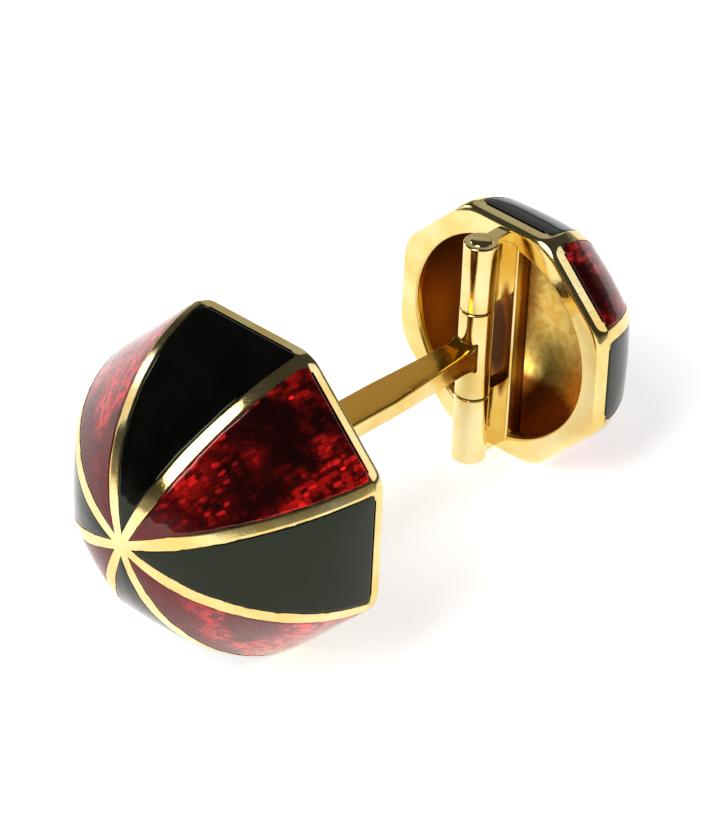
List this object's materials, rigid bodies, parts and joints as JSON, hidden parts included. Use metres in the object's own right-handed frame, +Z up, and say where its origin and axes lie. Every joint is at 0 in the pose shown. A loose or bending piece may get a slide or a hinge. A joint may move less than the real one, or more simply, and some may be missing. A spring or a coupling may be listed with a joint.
{
  "type": "cufflink",
  "caption": "Double-faced cufflink: a deep octagonal dome and a smaller hinged one on a flat post, both gold with black and red enamel panels between ribs.",
  "frame": {"origin": "on the table under the middle of the length, lying as in the picture on one flat of each dome", "axes": "+X along the post towards the front dome, which rises 5.8 degrees that way; +Z up; +Y across"},
  "size_m": [0.0251, 0.013, 0.013],
  "materials": {
    "gold": "polished yellow gold",
    "black_enamel": "glossy opaque vitreous enamel",
    "red_enamel": "glossy translucent vitreous enamel over an engraved ground"
  },
  "bodies": {
    "front": {"front_shell": "gold", "front_enamel_black_1": "black_enamel", "front_enamel_black_2": "black_enamel", "front_enamel_black_3": "black_enamel", "front_enamel_black_4": "black_enamel", "front_enamel_red_1": "red_enamel", "front_enamel_red_2": "red_enamel", "front_enamel_red_3": "red_enamel", "front_enamel_red_4": "red_enamel", "front_back_ring": "gold", "front_bridge": "gold", "post": "gold", "post_knuckle": "gold"},
    "toggle": {"toggle_shell": "gold", "toggle_enamel_black_1": "black_enamel", "toggle_enamel_black_2": "black_enamel", "toggle_enamel_black_3": "black_enamel", "toggle_enamel_black_4": "black_enamel", "toggle_enamel_red_1": "red_enamel", "toggle_enamel_red_2": "red_enamel", "toggle_enamel_red_3": "red_enamel", "toggle_enamel_red_4": "red_enamel", "toggle_back_ring": "gold", "toggle_bridge": "gold", "upper_knuckle": "gold", "lower_knuckle": "gold", "hinge_pin": "gold"}
  },
  "joints": [
    {"name": "toggle_hinge", "type": "hinge", "parent": "front", "child": "toggle", "pos_m": [-0.0067, 0, 0.00522], "axis": [-0.1012, 0, 0.9949], "range_deg": [-94, 94]}
  ]
}
